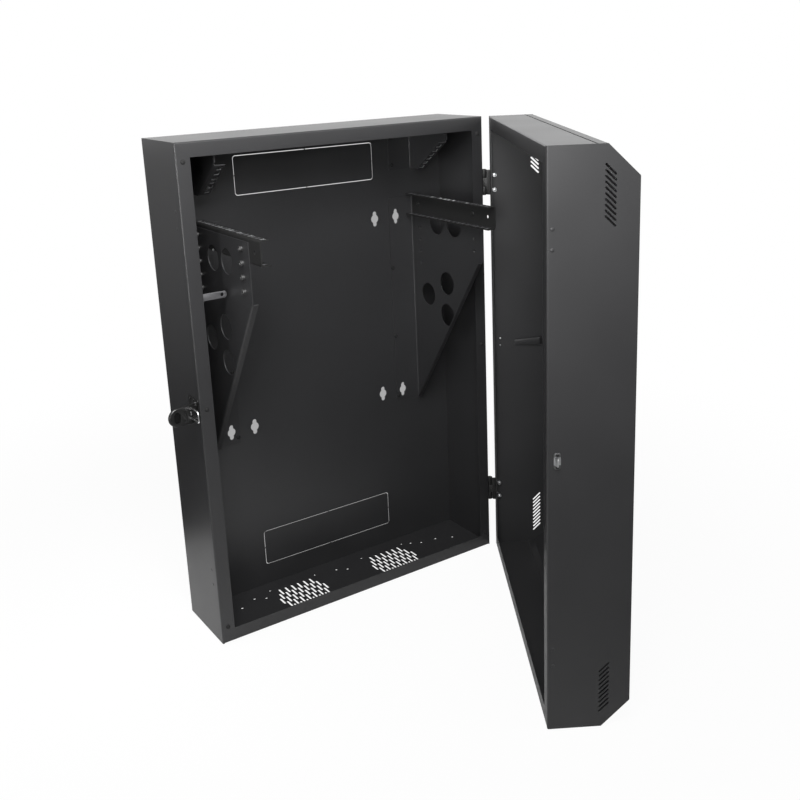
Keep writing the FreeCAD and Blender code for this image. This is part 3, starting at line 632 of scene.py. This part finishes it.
mouth = [(CLINCH_BORE + MOUTH_CHAMFER, CLINCH_TALL), (CLINCH_BORE, CLINCH_TALL - MOUTH_CHAMFER)]
spin(bm, sleeve + collar + mouth + sleeve[:1])
clinch_nut = shaded(bm, "clinch_nut")
plate_out_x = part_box("right_bracket")[1].x / MM
rail_in_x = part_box("right_rail")[1].x / MM - PLATE
rail_heads = [(mm(side * rail_in_x, y, RAIL_SCREW_Z), (-side, 0, 0))
              for y in RAIL_COLUMNS for side in SIDES]
holes = [(y, RAIL_SCREW_Z - step * RAIL_STEP)
         for y, count in RAIL_COLUMNS.items() for step in range(count)]
clinch_seats = [(mm(side * plate_out_x, y, z), (side, 0, 0)) for y, z in holes for side in SIDES]
seated("rail_screws", pan, rail_heads, "cabinet", "black_hardware")
# The clinch nuts take the darker zinc as painted shade.
seated("clinch_nuts", clinch_nut, clinch_seats, "cabinet", "zinc_plate", "deep_shade_darkened_zinc")

# %% [markdown]
# Screws have rubbed the paint from the walls of the square rack holes, so bare steel shows there. The
# solids' own meshes stay as they are, so a thin square lining stands in each hole. The listed holes are
# bright zinc as a painted glint, and the others take zinc darkened as painted shade, so the row reads as
# single holes.

# %% Rack hole linings
HOLE_HALF = 4.73
LINING = 0.14
LINING_INSET = 0.1
RACK_LINE = 232.55
UNIT = 44.45
UNIT_HOLES = (6.35, 22.225, 38.1)
UNITS = 6
RACK_START = -12.0
GLINT_HOLES = {1: (5, 7, 8, 9, 10, 13), -1: (6, 8, 9, 11, 14, 17)}


def square_lining(half, thick, tall):
    """A thin square tube standing on its seat."""
    bm = bmesh.new()
    inner = half - thick
    section = ((half, 0.0), (half, tall), (inner, tall), (inner, 0.0))
    rings = [rectangle(bm, reach, reach, height) for reach, height in section]
    walled(bm, rings + rings[:1], ends=False)
    return shaded(bm, "square_lining")


rail_low, rail_high = (corner.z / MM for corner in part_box("right_rail"))
rack_y = [RACK_START - unit * UNIT - hole for unit in range(UNITS) for hole in UNIT_HOLES]
UP = (0, 0, 1)
glint_holes, shaded_holes = [], []
for number, y in enumerate(rack_y):
    for side in SIDES:
        row = glint_holes if number in GLINT_HOLES[side] else shaded_holes
        row.append((mm(side * RACK_LINE, y, rail_high - PLATE + LINING_INSET), UP))
lower_holes = [(mm(side * RACK_LINE, y, rail_low + LINING_INSET), UP) for y in rack_y for side in SIDES]
lining = square_lining(HOLE_HALF, LINING, PLATE - 2 * LINING_INSET)
# Bright zinc in the listed holes is a painted glint; the other linings are darkened as painted shade.
seated("glint_rack_hole_linings", lining, glint_holes, "cabinet", "zinc_plate")
seated("upper_rack_hole_linings", lining, shaded_holes, "cabinet", "zinc_plate", "dull_shade_darkened_zinc")
seated("lower_rack_hole_linings", lining, lower_holes, "cabinet", "zinc_plate", "dull_shade_darkened_zinc")

# %% [markdown]
# The patch brackets have the same holes in a flange that slopes from the nose down to the heel. Its two
# corners give the slope, and the holes are counted both ways from the middle.

# %% Patch hole linings
PATCH_NOSE = mm(0, -135.0, 422.5)
PATCH_HEEL = mm(0, -52.0, 362.0)
slope = (PATCH_HEEL - PATCH_NOSE).normalized()
outward = Vector((0, slope.z, -slope.y))
middle = (PATCH_NOSE + PATCH_HEEL) / 2 - outward * (PLATE - LINING_INSET) * MM
steps = [(unit * UNIT + hole) * MM for unit in (-1, 0) for hole in UNIT_HOLES]
patch_holes = [(middle + slope * step + mm(side * RACK_LINE, 0, 0), outward)
               for step in steps for side in SIDES]
seated("patch_hole_linings", lining, patch_holes, "cabinet", "zinc_plate")

# %% [markdown]
# Each hinge leaf has two bolts. Their low round heads sit on the outside of the leaf, and bright nuts
# hold them inside the sheet. The screw head and the nut from before serve again. The door's own bolts are
# given for the shut door and swung with it.

# %% Hinge bolts
HINGE_Z = (336.0, -336.0)
HINGE_BOLT_HALF = 15.0
CABINET_BOLT_Y = -129.0
DOOR_BOLT_Y = -164.0
SHEET = 1.5
LEAF = 2.5
RIGHT = (1, 0, 0)
LEFT = (-1, 0, 0)
leaf_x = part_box("upper_hinge_cabinet_leaf")[0].x / MM + LEAF
wall_in_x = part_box("right_side_panel")[1].x / MM - SHEET
bolt_z = [z + side * HINGE_BOLT_HALF for z in HINGE_Z for side in SIDES]
fixed_heads = [(mm(leaf_x, CABINET_BOLT_Y, z), RIGHT) for z in bolt_z]
fixed_nuts = [(mm(wall_in_x, CABINET_BOLT_Y, z), LEFT) for z in bolt_z]
door_heads = [(swung(mm(leaf_x, DOOR_BOLT_Y, z)), swung_direction(RIGHT)) for z in bolt_z]
door_nuts = [(swung(mm(wall_in_x, DOOR_BOLT_Y, z)), swung_direction(LEFT)) for z in bolt_z]
seated("hinge_cabinet_bolts", pan, fixed_heads, "cabinet", "black_hardware")
seated("hinge_cabinet_nuts", nut, fixed_nuts, "cabinet", "zinc_plate")
seated("hinge_door_bolts", pan, door_heads, "door", "black_hardware")
seated("hinge_door_nuts", nut, door_nuts, "door", "zinc_plate")

# %% [markdown]
# The rack can be hung with its hinges on either side, so the other walls have the same holes. Plugs in
# the colour of the sheet close them. A flat disc would vanish on the sheet, so each is a low dome.

# %% Hole plugs
PLUG = 3.1
PLUG_TALL = 0.5
bm = bmesh.new()
spin(bm, [(0, 0), (PLUG, 0), (PLUG * 0.93, PLUG_TALL * 0.6), (PLUG * 0.7, PLUG_TALL), (0, PLUG_TALL)])
plug = shaded(bm, "plug")
other_x = -(wall_in_x + SHEET)
cabinet_plugs = [(mm(other_x, CABINET_BOLT_Y, z), LEFT) for z in bolt_z]
door_plugs = [(swung(mm(other_x, DOOR_BOLT_Y, z)), swung_direction(LEFT)) for z in bolt_z]
seated("cabinet_hole_plugs", plug, cabinet_plugs, "cabinet", "cabinet_coat")
seated("door_hole_plugs", plug, door_plugs, "door", "door_coat")

# %% [markdown]
# Rivets hold the latch plate, the keeper and the rails. A rivet head is a low mushroom with a rim and a
# pulled centre. It could be a plain dome, but the hollow in its profile is what tells it from a screw.

# %% Rivets
def rivet_head(radius, tall):
    """A pulled rivet: a mushroom rim round a small hollow."""
    bm = bmesh.new()
    rim = [(radius, 0), (radius, tall * 0.35), (radius * 0.8, tall * 0.8), (radius * 0.55, tall)]
    hollow = [(radius * 0.42, tall * 0.95), (radius * 0.36, tall * 0.55), (0, tall * 0.5)]
    spin(bm, [(0, 0)] + rim + hollow)
    return shaded(bm, "rivet")


LATCH_RIVET = (2.6, 1.2)
WALL_RIVET = (1.9, 1.3)
WEB_RIVET = (2.4, 1.6)
LATCH_RIVET_Y = (-110.0, -127.0)
LATCH_RIVET_Z = 14.5
KEEPER_Y = -171.0
KEEPER_RIVET_Z = 9.7
WALL_RIVET_Z = 7.9
WEB_RIVET_AT = (243.7, -93.2, 270.1)
plate_x = -(wall_in_x + 2 * SHEET)
door_left = swung_direction(LEFT)
rivet = rivet_head(*LATCH_RIVET)
latch_seats = [(mm(plate_x, y, side * LATCH_RIVET_Z), LEFT) for y in LATCH_RIVET_Y for side in SIDES]
keeper_seats = [(swung(mm(plate_x, KEEPER_Y, side * KEEPER_RIVET_Z)), door_left) for side in SIDES]
wall_seats = [(swung(mm(wall_in_x, KEEPER_Y, side * WALL_RIVET_Z)), door_left) for side in SIDES]
web_x, web_y, web_z = WEB_RIVET_AT
web_seats = [(mm(side * web_x, web_y, web_z), (side, 0, 0)) for side in SIDES]
seated("latch_base_rivets", rivet, latch_seats, "cabinet", "black_hardware")
seated("keeper_rivets", rivet, keeper_seats, "door", "black_hardware")
seated("hinge_wall_rivets", rivet_head(*WALL_RIVET), wall_seats, "door", "zinc_plate")
seated("rail_web_rivets", rivet_head(*WEB_RIVET), web_seats, "cabinet", "zinc_plate")

# %% [markdown]
# The door stops are little domes of rubber with a flat foot, spun like the screw heads. They replace the
# plain solids at the same places.

# %% Door bumpers
BUMPER = 4.0
BUMPER_TALL = 2.5
BUMPER_FOOT = 0.3
BUMPER_TURNS = (0.0, 0.4, 0.8, 1.2)
BUMPER_X = 307.5
BUMPER_Z = (435.0, 0.0, -435.0)
front_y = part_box("left_side_panel")[0].y / MM
bm = bmesh.new()
spin(bm, domed(BUMPER, BUMPER_TALL, BUMPER_FOOT, BUMPER_TURNS))
stop_seats = [(mm(side * BUMPER_X, front_y, z), TOWARDS_FRONT) for z in BUMPER_Z for side in SIDES]
stops = seated("rubber_door_stops", shaded(bm, "stop"), stop_seats, "cabinet", "bumper_rubber")
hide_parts("door_bumpers")

# %% [markdown]
# An almost black pad lies in the lever's finger recess as painted shade, standing for the recess in
# shade. It is an oval with a soft dome, and a stack of shrinking ovals gives that without a modifier. Its
# seat is given for the shut lever and turned open with it.

# %% Painted shade in the finger recess
LEVER_OPEN = math.radians(-joints["latch_lever_turn"]["range_deg"][0])
PIVOT = Vector(joints["latch_lever_turn"]["pos_m"])
RECESS = (-4.5, 39.5, 0.0)
PAD_HALF = 5.7
PAD_STRAIGHT = 5.0
PAD_TALL = 0.9
PAD_POINTS = 32
PAD_STEPS = ((0.0, 0.0), (0.0, 0.45), (0.5, 0.8), (1.6, 0.95), (3.2, 1.0))


def oval_pad(half, straight, tall):
    """A domed oval pad that is longer along its second axis."""
    bm = bmesh.new()
    rings = []
    for inset, height in PAD_STEPS:
        ring = []
        for i in range(PAD_POINTS):
            turn = 2 * math.pi * (i + 0.5) / PAD_POINTS
            shift = math.copysign(straight, math.sin(turn))
            x = (half - inset) * math.cos(turn)
            y = (half - inset) * math.sin(turn) + shift
            ring.append(bm.verts.new((x * MM, y * MM, height * tall * MM)))
        rings.append(ring)
    walled(bm, rings)
    return shaded(bm, "oval_pad")


open_turn = Quaternion((0, 0, 1), LEVER_OPEN)
pad_seat = (PIVOT + open_turn @ mm(*RECESS), open_turn @ Vector(LEFT))
pad = oval_pad(PAD_HALF, PAD_STRAIGHT, PAD_TALL)
# The pad is almost black, as painted shade in the recess.
seated("recess_shade_pad", pad, [pad_seat], "latch_lever", "bumper_rubber", "recess_shade_black")

# %% [markdown]
# The bail is one length of polished wire bent to a loop. A curve with a round bevel is the natural way
# to draw wire: each corner is a quarter circle between two points whose handles follow the bend.

# %% Bail wire
BAIL_LONG = 34.0
BAIL_HALF = 9.5
BAIL_WIRE = 1.75
BAIL_NEAR = 2.8
BAIL_FAR = 4.5
QUARTER = 0.5523


def bail_curve():
    """A closed loop of wire from the lever lugs forward round the keeper."""
    axis = Vector(joints["latch_bail_turn"]["pos_m"])
    curve = bpy.data.curves.new("bail_wire", "CURVE")
    curve.dimensions = "3D"
    curve.bevel_depth = BAIL_WIRE * MM
    curve.bevel_resolution = 5
    curve.resolution_u = 8
    spline = curve.splines.new("BEZIER")
    corners = [(0, 1, BAIL_NEAR), (-BAIL_LONG, 1, BAIL_FAR), (-BAIL_LONG, -1, BAIL_FAR), (0, -1, BAIL_NEAR)]
    spline.bezier_points.add(2 * len(corners) - 1)
    into = [(0, 1), (-1, 0), (0, -1), (1, 0)]
    for i, (y, side, bend) in enumerate(corners):
        ahead = into[(i + 1) % 4]
        for k, (direction, sign) in enumerate(((into[i], -1), (ahead, 1))):
            point = spline.bezier_points[2 * i + k]
            dy, dz = (sign * part * bend for part in direction)
            point.co = axis + mm(0, y + dy, side * BAIL_HALF + dz)
            point.handle_left_type = point.handle_right_type = "FREE"
            lead = mm(0, direction[0] * bend * QUARTER, direction[1] * bend * QUARTER)
            point.handle_left = point.co - lead
            point.handle_right = point.co + lead
    spline.use_cyclic_u = True
    return curve


bail = bpy.data.objects.new("bail_wire", bail_curve())
bpy.context.scene.collection.objects.link(bail)
bail.data.materials.append(finishes["bail_chrome"])
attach(bail, "latch_bail")
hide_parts("latch_bail")
print("bail loop:", BAIL_LONG, "by", 2 * BAIL_HALF, "mm")

# %% [markdown]
# The hinge pins are hidden in their knuckles but for their ends, which are peened over to small domes.
# Only the ends are added here, because the pins themselves are solids of the frame.

# %% Hinge pin ends
PIN_END = 4.6
PIN_PROFILE = ((0.0, 0.0), (1.0, 0.0), (1.0, 0.5), (0.75, 1.2), (0.35, 1.5), (0.0, 1.55))
KNUCKLE_HALF = 25.0
bm = bmesh.new()
spin(bm, [(PIN_END * share, height) for share, height in PIN_PROFILE])
pin_seats = [(HINGE + mm(0, 0, z + side * KNUCKLE_HALF), (0, 0, side)) for z in HINGE_Z for side in SIDES]
seated("hinge_pin_ends", shaded(bm, "pin_end"), pin_seats, "cabinet", "black_hardware")

# %% [markdown]
# The rack stands in a white studio. The floor is matt and pale, so that the satin sheet mirrors its real
# light and shade; to the camera it is lifted to white, and only a little of its shading shows close to
# the object. Light Path tells which kind of ray looks at a surface, so one material can do both.

# %% Floor
FLOOR_GAP = 0.002
FLOOR_Z = cad_low.z - FLOOR_GAP
FLOOR_SIZE = 14.0
FLOOR_TONE = 0.8
FLOOR_LIFT = 0.95
LIFT_NEAR = 0.5
LIFT_FAR = 1.6


def seen_rays(tree, *kinds):
    """1 for the named kinds of ray, 0 for the rest."""
    path_node = tree.nodes.new("ShaderNodeLightPath")
    seen = path_node.outputs["Is %s Ray" % kinds[0]]
    for kind in kinds[1:]:
        seen = math_node(tree, "MAXIMUM", seen, path_node.outputs["Is %s Ray" % kind])
    return seen


def backdrop_material(name, albedo, level):
    """A matt stage surface and a plain glow; the caller says which rays see the glow."""
    material = bpy.data.materials.new(name)
    material.use_nodes = True
    tree = material.node_tree
    tree.nodes.clear()
    out = tree.nodes.new("ShaderNodeOutputMaterial")
    matt = tree.nodes.new("ShaderNodeBsdfDiffuse")
    matt.inputs["Color"].default_value = (albedo, albedo, albedo, 1)
    glow = tree.nodes.new("ShaderNodeEmission")
    glow.name = "glow"
    glow.inputs["Strength"].default_value = level
    mix = tree.nodes.new("ShaderNodeMixShader")
    tree.links.new(matt.outputs["BSDF"], mix.inputs[1])
    tree.links.new(glow.outputs["Emission"], mix.inputs[2])
    tree.links.new(mix.outputs["Shader"], out.inputs["Surface"])
    return material, tree, mix.inputs["Fac"]


def floor_material():
    """Pale matt floor, lifted to white for the camera but for a little shade near the object."""
    material, tree, share = backdrop_material("white_floor", FLOOR_TONE, 1.0)
    reach = tree.nodes.new("ShaderNodeVectorMath")
    reach.operation = "LENGTH"
    tree.links.new(object_place(tree), reach.inputs[0])
    lift = spread(tree, reach.outputs["Value"], FLOOR_LIFT, 1.0, LIFT_NEAR, LIFT_FAR, "SMOOTHSTEP")
    seen = seen_rays(tree, "Camera", "Transmission")
    tree.links.new(math_node(tree, "MULTIPLY", seen, lift), share)
    return material


def card(name, centre, wide, tall, facing, material):
    """A flat stage card."""
    bm = bmesh.new()
    bmesh.ops.create_grid(bm, x_segments=8, y_segments=8, size=0.5)
    bmesh.ops.scale(bm, vec=(wide, tall, 1), verts=bm.verts[:])
    mesh = bpy.data.meshes.new(name)
    bm.to_mesh(mesh)
    bm.free()
    mesh.materials.append(material)
    item = bpy.data.objects.new(name, mesh)
    turn = Vector(facing).to_track_quat("Z", "Y").to_matrix().to_4x4()
    item.matrix_world = Matrix.Translation(centre) @ turn
    bpy.context.scene.collection.objects.link(item)
    return item


card("floor", (0, 0, FLOOR_Z), FLOOR_SIZE, FLOOR_SIZE, UP, floor_material())
print("floor at", round(FLOOR_Z, 4))

# %% [markdown]
# Dark cards behind the left wall and behind the right side, out of the camera's sight, keep the left
# wall and the door's lips from mirroring white all over, as a photographer's black flags do. Weaker
# lamps would darken everything, and a card darkens only what mirrors it. The left card is paler toward
# its top.

# %% Dark flags
FLAG_TALL = 0.90
FLAG_GAP = 0.01
FLAG_Z = FLOOR_Z + FLAG_TALL / 2 + FLAG_GAP
LEFT_FLAG = {"centre": (-0.46, 0.28, FLAG_Z), "wide": 1.3, "facing": (0.343, -0.939, 0)}
RIGHT_FLAG = {"centre": (1.0, 1.1, FLAG_Z), "wide": 1.6, "facing": (-0.6, -0.8, 0)}
FLAG_DARK = 0.05
FLAG_PALE = 0.35
FLAG_FADE_START = 0.35


def flag_material(name, low, high):
    """A dark card, with a tone in reflections for its lower part and one for its upper edge."""
    material, tree, share = backdrop_material(name, FLAG_DARK, 1.0)
    height = tree.nodes.new("ShaderNodeSeparateXYZ")
    tree.links.new(tree.nodes.new("ShaderNodeTexCoord").outputs["Generated"], height.inputs["Vector"])
    fade = spread(tree, height.outputs["Y"], low, high, FLAG_FADE_START, 1.0)
    tree.links.new(fade, tree.nodes["glow"].inputs["Strength"])
    tree.links.new(seen_rays(tree, "Camera", "Glossy", "Transmission"), share)
    return material


def hidden(item, *kinds):
    """Keep the named kinds of ray from seeing a card."""
    for kind in kinds:
        setattr(item, "visible_" + kind, False)


left_dark = flag_material("left_flag", FLAG_DARK, FLAG_PALE)
right_dark = flag_material("right_flag", FLAG_DARK, FLAG_DARK)
flags = [card("left_flag", tall=FLAG_TALL, material=left_dark, **LEFT_FLAG),
         card("right_flag", tall=FLAG_TALL, material=right_dark, **RIGHT_FLAG)]
for flag in flags:
    hidden(flag, "camera", "shadow", "diffuse")
print("flags:", [flag.name for flag in flags])

# %% [markdown]
# Grey cards close behind the back are the wall in its shade, which shows through the keyholes and the
# knockout lines and is paler near the ends. A solid wall would shade the floor and hide the back in
# other views, so the cards throw no shadow and are clear from behind.

# %% Shaded wall
SHADE_WIDE = 0.56
SHADE_BEHIND = 0.006
SHADES = {"middle_shade": (0.0, 0.62, 0.40), "upper_shade": (0.38, 0.13, 0.75),
          "lower_shade": (-0.38, 0.13, 0.6)}


def shade_material(name, level):
    """A shaded wall, seen from the front only."""
    material, tree, share = backdrop_material(name, level, level)
    share.default_value = 1.0
    clear = tree.nodes.new("ShaderNodeBsdfTransparent")
    sides = tree.nodes.new("ShaderNodeMixShader")
    facing = tree.nodes.new("ShaderNodeNewGeometry")
    tree.links.new(facing.outputs["Backfacing"], sides.inputs["Fac"])
    tree.links.new(share.node.outputs["Shader"], sides.inputs[1])
    tree.links.new(clear.outputs["BSDF"], sides.inputs[2])
    tree.links.new(sides.outputs["Shader"], tree.nodes["Material Output"].inputs["Surface"])
    return material


for name, (height, tall, level) in SHADES.items():
    shaded_wall = shade_material(name, level)
    behind = card(name, (0, SHADE_BEHIND, height), SHADE_WIDE, tall, TOWARDS_FRONT, shaded_wall)
    hidden(behind, "shadow", "diffuse", "glossy")
print("shaded wall:", list(SHADES))

# %% [markdown]
# The world is plain white to the camera and in reflections, so the background is white and bare metal
# mirrors it. To all other rays it is dim and lights the object only softly, which leaves the shape of the
# light to the lamps.

# %% White world
AMBIENT = 0.13
world = bpy.data.worlds.new("studio")
bpy.context.scene.world = world
world.use_nodes = True
sky = world.node_tree.nodes["Background"]
shade = world.node_tree.nodes.new("ShaderNodeMix")
shade.data_type = "RGBA"
shade.inputs["A"].default_value = (AMBIENT, AMBIENT, AMBIENT, 1)
shade.inputs["B"].default_value = (1, 1, 1, 1)
world_rays = seen_rays(world.node_tree, "Camera", "Glossy", "Transmission")
world.node_tree.links.new(world_rays, shade.inputs["Factor"])
world.node_tree.links.new(shade.outputs["Result"], sky.inputs["Color"])
print("ambient light:", AMBIENT)

# %% [markdown]
# A softbox hangs close above the front left, so that the light falls off down the door and the cabinet.
# Its grid keeps it from spilling over the floor in front. A narrow front light brightens the upper door,
# a weak one fills from the right, and a wide one stands behind the right side, where the tops mirror it.
# A small light brightens the floor on the left, and a narrow low one far left draws a bright line on the
# bend. Large area lights were chosen because satin paint shows every lamp as a broad soft patch.

# %% Lights
def softbox(name, place_m, aim, size, watts, beam=180):
    """An area light of a width and a height, aimed at a point, with the angle its grid lets through."""
    lamp = bpy.data.lights.new(name, "AREA")
    lamp.shape = "RECTANGLE"
    lamp.size, lamp.size_y = size
    lamp.energy = watts
    lamp.spread = math.radians(beam)
    item = bpy.data.objects.new(name, lamp)
    item.location = place_m
    item.rotation_euler = (Vector(aim) - Vector(place_m)).to_track_quat("-Z", "Y").to_euler()
    item.visible_camera = False
    bpy.context.scene.collection.objects.link(item)


softbox("key_light", (-0.55, -1.1, 1.18), aim=(-0.25, -0.25, 0.38), size=(0.7, 0.7), watts=13.0, beam=103)
softbox("front_light", (-1.8, -2.6, 0.6), aim=(0.0, -0.8, 0.5), size=(0.8, 0.8), watts=2.8, beam=40)
softbox("fill_light", (0.9, -1.6, 1.0), aim=(0.0, -0.2, 0.2), size=(0.8, 0.6), watts=4.5)
softbox("top_light", (1.4, 2.6, 0.95), aim=(0.0, -0.1, 0.4), size=(3.4, 1.2), watts=8.0)
softbox("floor_light", (-0.9, 0.1, 1.0), aim=(-0.6, 0.0, -0.47), size=(0.5, 0.5), watts=1.5, beam=60)
softbox("edge_light", (-2.6, -1.2, 0.2), aim=(-0.45, -0.155, 0.32), size=(0.4, 0.4), watts=0.35, beam=16)

# %% [markdown]
# The camera was worked out from the corners of the box and the door. It stands left of the middle and
# looks a little down; the small lens shift puts the object where the picture has it.

# %% Camera
CAMERA = Vector((-0.93464, -1.75935, 0.60458))
YAW = math.radians(34.0113)
PITCH = math.radians(-15.4647)
ROLL = math.radians(-2.1492)
FOCAL_PX = 1008.593
CENTRE_PX = (418.69, 325.974)
FRAME_PX = 800.0
SENSOR = 36.0


def camera_turn():
    """Columns of the camera's right, up and backward directions."""
    ahead = Vector((math.sin(YAW) * math.cos(PITCH), math.cos(YAW) * math.cos(PITCH), math.sin(PITCH)))
    right = ahead.cross(Vector((0, 0, 1))).normalized()
    up = right.cross(ahead)
    tilted = right * math.cos(ROLL) + up * math.sin(ROLL)
    upright = up * math.cos(ROLL) - right * math.sin(ROLL)
    return Matrix((tilted, upright, -ahead)).transposed()


lens = bpy.data.cameras.new("camera")
lens.sensor_width = SENSOR
lens.sensor_fit = "HORIZONTAL"
lens.lens = SENSOR * FOCAL_PX / FRAME_PX
lens.shift_x = (FRAME_PX / 2 - CENTRE_PX[0]) / FRAME_PX
lens.shift_y = (CENTRE_PX[1] - FRAME_PX / 2) / FRAME_PX
lens.clip_start = 0.05
camera = bpy.data.objects.new("camera", lens)
camera.matrix_world = Matrix.Translation(CAMERA) @ camera_turn().to_4x4()
bpy.context.scene.collection.objects.link(camera)
bpy.context.scene.camera = camera
bpy.context.scene.view_settings.view_transform = "Standard"
print("lens", round(lens.lens, 2), "mm, shift", round(lens.shift_x, 4), round(lens.shift_y, 4))
